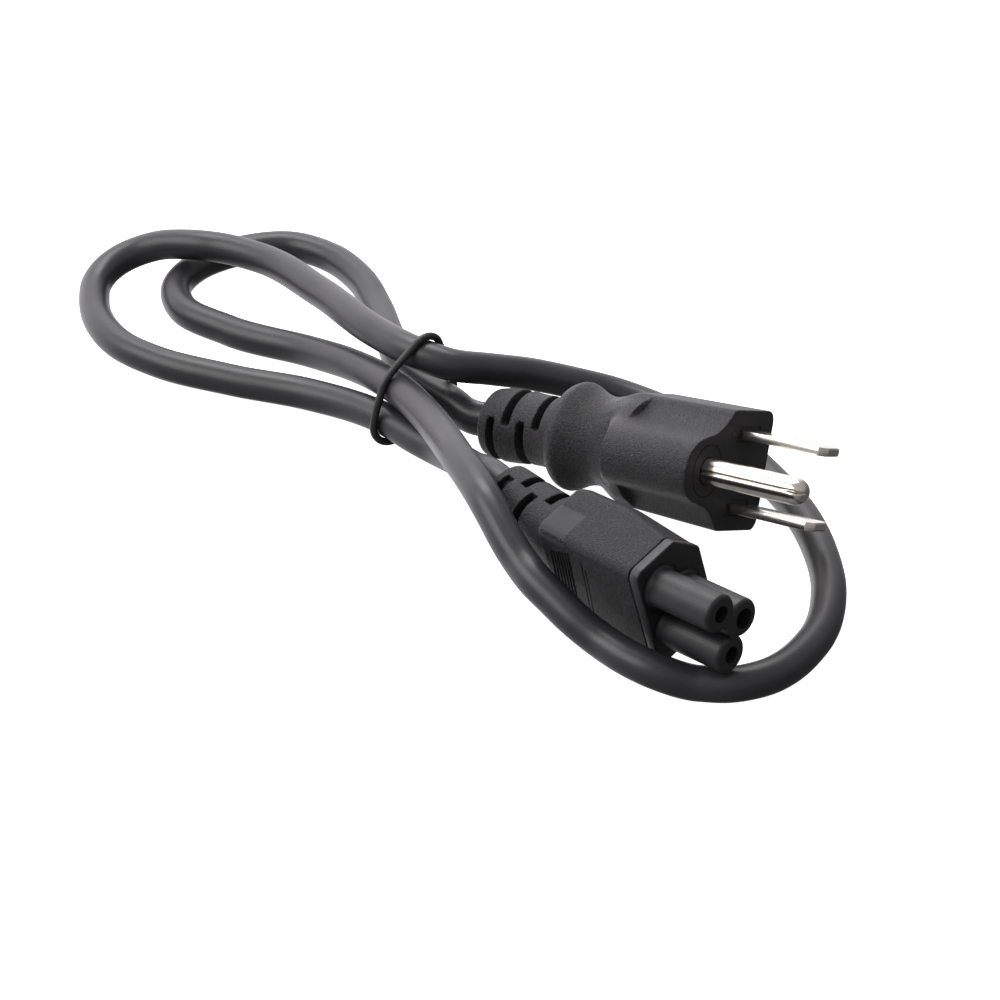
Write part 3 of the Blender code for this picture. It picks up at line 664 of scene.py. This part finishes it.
PLUG_STEPS = 240
PLUG_TURNS = np.linspace(0.0, math.tau, PLUG_STEPS, endpoint=False)
PLUG_WAYS = np.stack([np.cos(PLUG_TURNS), np.sin(PLUG_TURNS)], axis=1)
REAR_LINE = smooth_curve([Vector((back, radius, 0.0)) for back, radius in REAR], 10)


def face_outline():
    """Face of the plug: a block whose shoulders slope up to a lobe about the ground pin."""
    right = arc((PLUG_HALF - 2.0, -PLUG_BACK + 2.0), 2.0, -90.0, 0.0, 8)
    right += [(p.x, p.y) for p in smooth_curve([Vector((x, y, 0.0)) for x, y in LOBE_EDGE], 4)]
    return np.array(right + [(-x, y) for x, y in reversed(right[:-1])])


FACE_OUTLINE = face_outline()


def turned_from(turns, towards):
    """How far each direction is turned from another, in degrees."""
    return np.abs((np.degrees(turns) - towards + 180.0) % 360.0 - 180.0)


def block_outline(back):
    """Outline of the block at a distance behind the face, which narrows and whose lobe ends abruptly."""
    front = min(back, BLOCK_BACK) / BLOCK_BACK
    outline = FACE_OUTLINE * np.array([1.0 - 0.055 * front - 0.125 * ease(back, BLOCK_BACK, 25.0), 1.0])
    outline[:, 1] *= np.where(outline[:, 1] > 0.0, 1.0 - 0.01 * front, 1.0 - 0.03 * front)
    fall_end = 18.9 + 5.5 * ease(np.abs(outline[:, 0]), 2.2, 5.6)
    fall = LOBE_LEFT * ease((back - LOBE_END) / (fall_end - LOBE_END), 0.0, 1.0)
    outline[:, 1] -= np.maximum(outline[:, 1] - SHOULDER_TOP, 0.0) * fall
    return outline


def reach_of(outline):
    """How far an outline lies from its middle in each direction."""
    way = PLUG_WAYS
    ends = np.roll(outline, -1, axis=0) - outline
    det = way[:, None, 0] * ends[None, :, 1] - way[:, None, 1] * ends[None, :, 0]
    det = np.where(np.abs(det) < 1e-12, 1e-12, det)
    along = (outline[None, :, 0] * ends[None, :, 1] - outline[None, :, 1] * ends[None, :, 0]) / det
    part = (outline[None, :, 0] * way[:, None, 1] - outline[None, :, 1] * way[:, None, 0]) / det
    good = (part > -1e-9) & (part < 1 + 1e-9) & (along > 0)
    return np.where(good, along, 0.0).max(axis=1)


def slotted(reach, back):
    """Cuts the half-round slots of the plug's strain relief into a ring."""
    for middle, towards in BOOT_SLOTS:
        off = abs(back - middle)
        if off < 0.95:
            inside = 1.0 - ease(off, 0.70, 0.80)
            soft = 0.16 * (1.0 - ease(off, 0.78, 0.95))
            turn = turned_from(PLUG_TURNS, towards)
            lip = 0.75 * (1.0 - math.sqrt(max(1.0 - min(off / 0.76, 1.0) ** 2, 0.0)))
            half = 94.5 - math.degrees(lip / 6.6)
            within = 1.0 - ease(turn, half - 1.2, half + 1.2)
            floor = np.minimum(reach, SLOT_FLOOR)
            reach = reach - soft * (1.0 - ease(turn, 93.0, 98.0))
            reach = reach * (1.0 - inside * within) + floor * inside * within
    return reach


def crescent(reach, back):
    """Raises the crescent step on each shoulder, with a hollow in front of it."""
    turn = np.degrees(np.arctan2(PLUG_WAYS[:, 1], np.abs(PLUG_WAYS[:, 0])))
    spread = np.sin(np.pi * np.clip((turn - 14.0) / 41.0, 0.0, 1.0))
    past = back - (CRESCENT_AT + (turn - 18.0) / 44.0)
    wall = ease(past, -0.6, 0.0)
    reach = reach + CRESCENT_STEP * spread * wall * (1.0 - ease(past, 0.4, 8.0))
    return reach - CRESCENT_HOLLOW * spread * ease(past, -4.5, -0.9) * (1.0 - wall)


def plug_row(back, inset=0.0):
    """One ring of the plug at a distance behind its face."""
    share = ease(back, BLOCK_BACK, 27.0)
    middle = np.array([0.0, (1.0 - share) * LOBE_MIDDLE])
    block = reach_of(block_outline(back) - middle)
    radius = float(np.interp(back, [p.x for p in REAR_LINE], [p.y for p in REAR_LINE]))
    chord = np.sqrt(np.maximum(radius ** 2 - (middle[1] * PLUG_WAYS[:, 0]) ** 2, 0.0))
    reach = block * (1.0 - share) + (chord - middle[1] * PLUG_WAYS[:, 1]) * share - inset
    if back > 37.0:
        reach = slotted(reach, back)
    if 10.0 < back < 30.0:
        reach = crescent(reach, back)
    x = reach * PLUG_WAYS[:, 0] - REAR_DROP * max(back - DROP_FROM, 0.0)
    y = middle[1] + reach * PLUG_WAYS[:, 1]
    return np.stack([x, y, np.full(PLUG_STEPS, -back)], axis=1)


def make_plug():
    """The block with its lobe, neck, ball and slotted strain relief, as one moulding."""
    stations = [0.12, 0.4] + list(np.arange(1.5, 12.6, 1.5)) + list(np.arange(13.0, 15.8, 0.4))
    stations += list(np.arange(15.8, 20.0, 0.15)) + list(np.arange(20.0, 36.0, 0.35))
    stations += list(np.arange(35.9, 37.0, 0.12))
    offsets = [-d for d in reversed(SLOT_RINGS)] + [0.0] + list(SLOT_RINGS)
    for middle, _ in BOOT_SLOTS:
        stations += [middle + d for d in offsets]
    stations += [49.8, 50.2, 50.6, 50.9, 51.1, 51.25, 51.34, BOOT_END]
    rows = [plug_row(0.0, 0.42), plug_row(0.02, 0.24)]
    rows += [plug_row(s, 0.07 if s < 0.2 else 0.0) for s in stations]
    end_row = rows[-1]
    end_middle = end_row.mean(axis=0)
    for level, radius in ((51.42, 4.4), (51.4, 3.55), (51.2, 3.25), (50.6, 3.15), (49.6, 3.1)):
        row = end_middle + (end_row - end_middle) * (radius / REAR[-1][1])
        row[:, 2] = -level
        rows.append(row)
    bm = bmesh.new()
    skin(bm, rows)
    for face in bm.faces:
        if face.calc_center_median().z > -0.06:
            face.material_index = 1
    return piece("plug_moulding", bm, PLUG_POSE, [PLUG_GRAIN, PLUG_FACE], ["plug_body"], 32.0)


def carve_plug_face(plug):
    """The recesses round the blades, the pin's hole, and two shallow rings in the face."""
    bm = bmesh.new()
    for sign in (1.0, -1.0):
        for half_x, half_y, deep in ((1.4, 3.95, 0.16), (0.85, 3.4, 1.1)):
            for vert in bmesh.ops.create_cube(bm, size=2.0)["verts"]:
                x, y, z = vert.co
                vert.co = (sign * BLADE_AT + x * half_x, y * half_y, 1.0 if z > 0 else -deep)
    cut(plug, bm, PLUG_POSE, "recess")
    bm = bmesh.new()
    drum(bm, (0.0, PIN_AT), PIN_R + 0.30, PIN_R + 0.02, 0.9, 0.0, 64)
    cut(plug, bm, PLUG_POSE, "pin_hole")
    bm = bmesh.new()
    groove(bm, (0.0, PIN_AT), 4.5, 0.22, 0.12)
    groove(bm, (6.3, 4.9), 0.72, 0.16, 0.08)
    cut(plug, bm, PLUG_POSE, "face_marks")


carve_plug_face(make_plug())

# ---------------------------------------------------------------- blades and ground pin
PIN_STEPS = 160
PIN_TIP = 2.5
PIN_TURNS = np.linspace(0.0, math.tau, PIN_STEPS, endpoint=False)
SEAM_OFF = (np.degrees(PIN_TURNS) - 90.0 + 180.0) % 360.0 - 180.0


def bevel(bm, edges, offset, segments):
    bmesh.ops.bevel(bm, geom=edges, offset=offset, segments=segments, profile=0.5, affect="EDGES", material=-1)


def make_blade(name, sign):
    """A flat blade with cut corners at its tip."""
    bm = bmesh.new()
    for vert in bmesh.ops.create_cube(bm, size=1.0)["verts"]:
        x, y, z = vert.co
        level = CONTACT_ROOT if z < 0 else BLADE_LENGTH
        vert.co = (sign * BLADE_AT + x * BLADE_THICK, y * BLADE_WIDTH, level)

    def tip_edges(axis, longer):
        edges = [e for e in bm.edges if all(v.co.z > BLADE_LENGTH - 0.01 for v in e.verts)]
        return [e for e in edges if abs(e.verts[0].co[axis] - e.verts[1].co[axis]) > longer]

    bevel(bm, tip_edges(0, 0.5), 1.3, 1)
    bevel(bm, tip_edges(1, 1.0), 0.32, 1)
    bevel(bm, list(bm.edges), 0.09, 2)
    piece(name + "_plated", bm, PLUG_POSE, [NICKEL], [name], 30.0)


def pin_row(level, share, opened):
    """One ring of the ground pin, with its rolled seam."""
    dip = (0.20 + opened * 0.5) * np.exp(-(SEAM_OFF / (3.4 + opened * 4.0)) ** 2)
    dip = dip + 0.10 * np.exp(-(SEAM_OFF / 9.0) ** 2)
    oval = 1.0 - 0.012 * np.cos(np.radians(SEAM_OFF) * 2.0)
    radius = PIN_R * share * oval - dip * min(share * 1.3, 1.0)
    x = radius * np.cos(PIN_TURNS)
    y = PIN_AT + radius * np.sin(PIN_TURNS)
    return np.stack([x, y, np.full(PIN_STEPS, level)], axis=1)


def make_ground_pin():
    """A pin rolled from sheet, whose seam opens towards its domed tip."""
    rows = [pin_row(level, 1.0, 0.0) for level in np.arange(CONTACT_ROOT, PIN_LENGTH - 3.8, 1.2)]
    rows += [pin_row(PIN_LENGTH - 3.6 + 0.36 * k, 1.0, 0.1 * k) for k in range(4)]
    for step in range(1, 15):
        angle = math.radians(6.2 * step)
        level = PIN_LENGTH - PIN_TIP + PIN_TIP * math.sin(angle)
        rows.append(pin_row(level, 0.06 + 0.94 * math.cos(angle) ** 0.86, 0.5))
    bm = bmesh.new()
    skin(bm, rows)
    piece("ground_pin_plated", bm, PLUG_POSE, [NICKEL], ["ground_pin"], 50.0)


make_blade("blade_upper", 1.0)
make_blade("blade_lower", -1.0)
make_ground_pin()

# ---------------------------------------------------------------- connector outlines
CORNER_STEPS = 5
SIDE_POINTS = 8
PLATE_HALF = 10.1
PLATE_TOP = 10.0
FLAT_SIDE = -4.3
FLAT_ROUND = 1.7
HOUSING_LEVELS = [15.05, 20.0, 25.0, HOUSING_END - 0.5]
HOUSING_CHAMFERS = [4.9, 3.77, 2.6, 2.6]
HOUSING_ROUNDS = [1.5, 1.8, 2.2, 2.2]
FLAT_RISE = [0.0, 0.15, 0.4, 1.0]
HOLES = [((-HOLE_HALF, 0.0), 2.9), ((HOLE_HALF, 0.0), 2.9), ((0.0, EARTH_AT), 3.5)]


def housing_outline(margin, chamfer=4.9, radius=1.5, lift=0.0):
    """Six-sided outline of the plate and the housing."""
    half = PLATE_HALF - margin
    flat = FLAT_SIDE + margin + lift
    top = PLATE_TOP - margin
    slope = margin * math.tan(math.radians(22.5))
    shoulder = PLATE_TOP - chamfer - slope
    inner = PLATE_HALF - chamfer - slope
    corners = [(-half, flat), (half, flat), (half, shoulder), (inner, top), (-inner, top), (-half, shoulder)]
    return rounded(corners, [FLAT_ROUND] * 2 + [radius] * 4, CORNER_STEPS, SIDE_POINTS)


def at_level(back, values):
    """A size of the housing at a distance behind the nose's front."""
    return float(np.interp(back, HOUSING_LEVELS, values))


def housing_row(back, margin=0.0):
    """One ring of the housing: its corners shrink, its flat side rises, and its patches lie deeper."""
    chamfer, radius, lift = (at_level(back, values) for values in (HOUSING_CHAMFERS, HOUSING_ROUNDS, FLAT_RISE))
    ring = np.array([(x, y, -back) for x, y in housing_outline(margin, chamfer, radius, lift)])
    x, y = ring[:, 0].copy(), ring[:, 1].copy()
    inward = np.where(x < 0.0, 1.0, -1.0)
    patch = ease(back, PATCH_AT - 0.05, PATCH_AT + 0.06) * (0.45 + 0.55 * ease(y, 3.4, 3.1))
    parting = np.exp(-((y - PATCH_TOP) / 0.14) ** 2) * ease(back, PATCH_AT - 1.0, PATCH_AT)
    ring[:, 0] = x + inward * (0.26 * patch * (np.abs(x) > 7.5) + 0.2 * parting * (np.abs(x) > 8.5))
    return ring


def nose_outline(radius, web, bead):
    """Outline of the three tubes, joined by a web with a small bead between line and neutral."""
    left, right, top = (-HOLE_HALF, 0.0), (HOLE_HALF, 0.0), (0.0, EARTH_AT)
    valley = math.degrees(math.atan2(EARTH_AT, HOLE_HALF))
    span = math.hypot(HOLE_HALF, EARTH_AT) / 2
    gap = math.degrees(math.acos(min(span / radius, 1.0)))
    inner = -math.degrees(math.asin(web / radius))
    points = arc(right, radius, 180.0 + inner, 540.0 - valley - gap, 40)
    points += arc(top, radius, -valley + gap, 180.0 + valley - gap, 36)[1:-1]
    points += arc(left, radius, valley + gap, 360.0 - inner, 40)
    points += arc((0.0, web + 0.25), bead, 205.0, 335.0, 12)
    return points


# ---------------------------------------------------------------- connector nose and plate
PLATE_LEVELS = [(NOSE, 0.42), (NOSE + 0.04, 0.20), (NOSE + 0.16, 0.05), (NOSE + 0.34, 0.0),
                (PLATE_BACK - 0.22, 0.0), (PLATE_BACK - 0.06, 0.06), (PLATE_BACK, 0.2)]
TUBE_LEVELS = [(0.0, 0.85), (0.03, 0.62), (0.13, 0.38), (0.30, 0.18), (0.52, 0.05), (0.8, 0.0), (1.4, -0.015),
               (2.2, 0.0), (NOSE - 0.9, 0.0), (NOSE - 0.45, -0.05), (NOSE - 0.2, -0.14), (NOSE - 0.02, -0.35),
               (NOSE + 0.6, -0.35)]


def make_nose():
    """The plate and the three tubes as one piece, with their holes, flared mouths and root arcs."""
    bm = bmesh.new()
    skin(bm, [[(x, y, -back) for x, y in housing_outline(margin)] for back, margin in PLATE_LEVELS])
    # faces round the plate's edge take the lighter copy of the satin: a painted highlight on the edge band
    for face in bm.faces:
        if -PLATE_BACK + 0.02 < face.calc_center_median().z < -NOSE - 0.05:
            face.material_index = 1
    insert = piece("connector_nose", bm, CONNECTOR_POSE, [NOSE_SATIN, PLATE_EDGE_PAINTED_LIGHT], ["connector_insert"],
                   32.0)
    rows = []
    for level, shrink in TUBE_LEVELS:
        outline = nose_outline(TUBE_R - shrink, 0.75 - shrink * 0.2, 0.85 - shrink * 0.35)
        rows.append([(x, y, -level) for x, y in outline])
    bm = bmesh.new()
    skin(bm, rows)
    cut(insert, bm, CONNECTOR_POSE, "tubes", "UNION")
    for middle, width in HOLES:
        bm = bmesh.new()
        drum(bm, middle, width / 2, width / 2, 24.0, -3.0, 72)
        cut(insert, bm, CONNECTOR_POSE, "hole")
        bm = bmesh.new()
        drum(bm, middle, width / 2 + 0.95, width / 2 - 0.4, 1.35, 0.27, 72)
        cut(insert, bm, CONNECTOR_POSE, "mouth")
    for middle, _ in HOLES:
        bm = bmesh.new()
        groove(bm, middle, TUBE_R + 0.85, 0.16, 0.10, -NOSE)
        cut(insert, bm, CONNECTOR_POSE, "root_arc")
    return insert


insert = make_nose()
for node in ("contact_sleeve_1", "contact_sleeve_2", "contact_sleeve_3"):
    for material_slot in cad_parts[node].material_slots:
        material_slot.material = BRASS

# ---------------------------------------------------------------- connector housing and strain relief
CBOOT_STEPS = 144
CBOOT_TURNS = np.linspace(0.0, math.tau, CBOOT_STEPS, endpoint=False)
CBOOT_SLOTS = [(CBOOT - 3.0 - 3.7 * k, -90.0 if k % 2 == 0 else 90.0) for k in range(4)]
CBOOT_RINGS = (0.3, 0.6, 0.82, 0.86, 0.89, 0.92, 0.95, 1.02, 1.1, 1.3)
CBOOT_FLOOR = 3.6
SQUARENESS = 2.5
GRIP_LINES = [(PATCH_AT + 0.72 * k, 7.4 - 0.25 * k, 0.34, 0.22) for k in range(7)]
GRIP_LINES += [(26.2, 5.4, 0.2, 0.12), (26.9, 6.9, 0.2, 0.12)]
FLASH_STEPS = 80
FLASH_AT = 29.6
FLASH_LENGTH = 5.6


def make_housing():
    """The housing without its strain relief."""
    front = HOUSING_FRONT - 0.2
    rows = [housing_row(front + d, m) for d, m in ((0.0, 0.34), (0.05, 0.14), (0.2, 0.0))]
    rows += [housing_row(a) for a in np.arange(front + 1.5, PATCH_AT - 0.4, 1.0)]
    rows += [housing_row(PATCH_AT + d) for d in (-0.12, -0.05, 0.0, 0.06, 0.14, 1.0, 2.2, 3.4, 4.6)]
    ending = ((0.9, 0.0), (0.5, 0.08), (0.22, 0.28), (0.06, 0.55), (0.0, 0.95))
    rows += [housing_row(HOUSING_END - d, m) for d, m in ending]
    bm = bmesh.new()
    skin(bm, rows)
    for face in bm.faces:
        x, y, z = face.calc_center_median()
        if -HOUSING_END + 0.3 < z < -PATCH_AT - 0.08 and y < PATCH_TOP - 0.1 and abs(x) > 8.3:
            face.material_index = 1
    return piece("connector_housing", bm, CONNECTOR_POSE, [CONNECTOR_GRAIN, GRIP_PATCH], ["connector_body"],
                 30.0)


def cboot_row(along, shrink=1.0):
    """One ring of the connector's strain relief."""
    share = max(along, 0.0) / CBOOT
    half = (6.0 - 1.7 * share - 60.0 * max(share - 0.955, 0.0) ** 1.5) * shrink
    across, up = np.abs(np.cos(CBOOT_TURNS)), np.abs(np.sin(CBOOT_TURNS))
    reach = half / (across ** SQUARENESS + up ** SQUARENESS) ** (1.0 / SQUARENESS)
    for middle, towards in CBOOT_SLOTS:
        off = abs(along - middle)
        if off < 1.1:
            inside = 1.0 - ease(off, 0.86, 0.94)
            soft = 0.14 * (1.0 - ease(off, 0.92, 1.1))
            turn = turned_from(CBOOT_TURNS, towards)
            within = 1.0 - ease(turn, 86.5, 89.0)
            reach = reach - soft * (1.0 - ease(turn, 87.0, 93.0))
            reach = reach * (1.0 - inside * within) + np.minimum(reach, CBOOT_FLOOR) * inside * within
    point, x_axis, y_axis, _ = boot_frame(along)
    return [point + x_axis * (r * math.cos(a)) + y_axis * (r * math.sin(a)) for a, r in zip(CBOOT_TURNS, reach)]


def add_strain_relief(housing):
    """Joins the slotted strain relief to the housing."""
    levels = [-1.5, -0.3, 0.0, 0.4, 1.5, 2.5]
    offsets = [-d for d in CBOOT_RINGS] + [0.0] + list(CBOOT_RINGS)
    for middle, _ in CBOOT_SLOTS:
        levels += [middle + d for d in offsets]
    levels += [CBOOT - d for d in (1.0, 0.7, 0.4, 0.2, 0.08, 0.0)]
    rows = [cboot_row(level) for level in sorted(levels)]
    rows += [cboot_row(CBOOT - 0.02, 0.88), cboot_row(CBOOT - 0.5, 0.84)]
    bm = bmesh.new()
    skin(bm, rows)
    cut(housing, bm, CONNECTOR_POSE, "boot", "UNION")


def cut_grip_ridges(housing):
    """Cuts the shallow lines across the housing's flat side."""
    bm = bmesh.new()
    for back, half, width, deep in GRIP_LINES:
        flat = FLAT_SIDE + at_level(back, FLAT_RISE)
        ridge = bmesh.ops.create_cone(bm, cap_ends=True, segments=16, radius1=0.6, radius2=0.6,
                                      depth=2 * half)["verts"]
        bmesh.ops.rotate(bm, verts=ridge, cent=(0.0, 0.0, 0.0), matrix=Matrix.Rotation(math.radians(90.0), 3, "Y"))
        for vert in ridge:
            vert.co.y = flat + deep - 0.6 + vert.co.y
            vert.co.z = -back + vert.co.z * width / 0.6 - vert.co.x * 0.10
    cut(housing, bm, CONNECTOR_POSE, "grip_ridges")


def make_flash_line():
    """The thin wavy line of flash along the housing's side."""
    line = []
    for step in range(FLASH_STEPS):
        share = step / (FLASH_STEPS - 1)
        wave = 0.10 * math.sin(step * 0.63) + 0.07 * math.sin(step * 1.7)
        line.append(Vector((-9.15 + wave, -3.35 + 0.35 * share - wave, -FLASH_AT - FLASH_LENGTH * share)))
    bm = bmesh.new()
    tube(bm, line, [0.13 + 0.05 * math.sin(k * 0.9) for k in range(FLASH_STEPS)], 10)
    piece("flash_line", bm, CONNECTOR_POSE, [CONNECTOR_GRAIN], [], 60.0)


housing = make_housing()
add_strain_relief(housing)
cut_grip_ridges(housing)
make_flash_line()


# ---------------------------------------------------------------- floor and light
def lay_floor():
    """A white paper floor, kept out of the object's own reflections."""
    bm = bmesh.new()
    bmesh.ops.create_grid(bm, x_segments=1, y_segments=1, size=3.0)
    mesh = bpy.data.meshes.new("floor")
    bm.to_mesh(mesh)
    bm.free()
    floor = bpy.data.objects.new("floor", mesh)
    bpy.context.collection.objects.link(floor)
    white = (1.0, 1.0, 1.0, 1.0)
    paper = Finish("floor_white", Base_Color=(0.93, 0.93, 0.93, 1.0), Roughness=0.9, Specular_IOR_Level=0.0,
                   Emission_Color=white, Emission_Strength=1.0)
    mesh.materials.append(paper.material)
    floor.visible_diffuse = False
    floor.visible_glossy = False


def softbox(name, place, size, power):
    """A soft rectangular light, aimed at the object."""
    data = bpy.data.lights.new(name, "AREA")
    data.shape = "RECTANGLE"
    data.size, data.size_y = size
    data.energy = power
    lamp = bpy.data.objects.new(name, data)
    bpy.context.collection.objects.link(lamp)
    lamp.location = place
    lamp.rotation_euler = (-Vector(place)).to_track_quat("-Z", "Y").to_euler()


def light_room():
    """A room that is brighter at the back, above and to the left."""
    world = bpy.data.worlds.new("studio")
    scene.world = world
    world.use_nodes = True
    room = Wiring(world.node_tree)
    way = room.node("ShaderNodeTexCoord")["Generated"]
    turn = (0.0, 0.0, math.radians(-33.0))
    turned = room.node("ShaderNodeMapping", {}, {"Vector": way, "Rotation": turn})["Vector"]
    sides = room.node("ShaderNodeSeparateXYZ", {}, {0: turned})

    def brighter(axis, low, high, start, end):
        values = {"Value": sides[axis], "From Min": low, "From Max": high, "To Min": start, "To Max": end}
        return room.node("ShaderNodeMapRange", {"interpolation_type": "SMOOTHSTEP"}, values)["Result"]

    strength = brighter("Y", 0.2, 0.98, 0.12, 1.72) + brighter("Z", -0.25, 0.8, 0.0, 0.34)
    strength = strength + brighter("X", 0.2, -0.9, 0.0, 0.18)
    background = world.node_tree.nodes["Background"]
    room.tree.links.new(strength.socket, background.inputs["Strength"])
    background.inputs["Color"].default_value = (1.0, 0.985, 1.01, 1.0)


lay_floor()
softbox("key_light", (-0.88, -0.25, 0.80), (0.9, 0.7), 7.0)
softbox("top_light", (-0.12, 0.55, 0.95), (0.7, 0.5), 7.0)
light_room()

# ---------------------------------------------------------------- length of the cable, in metres
cable_length * MM
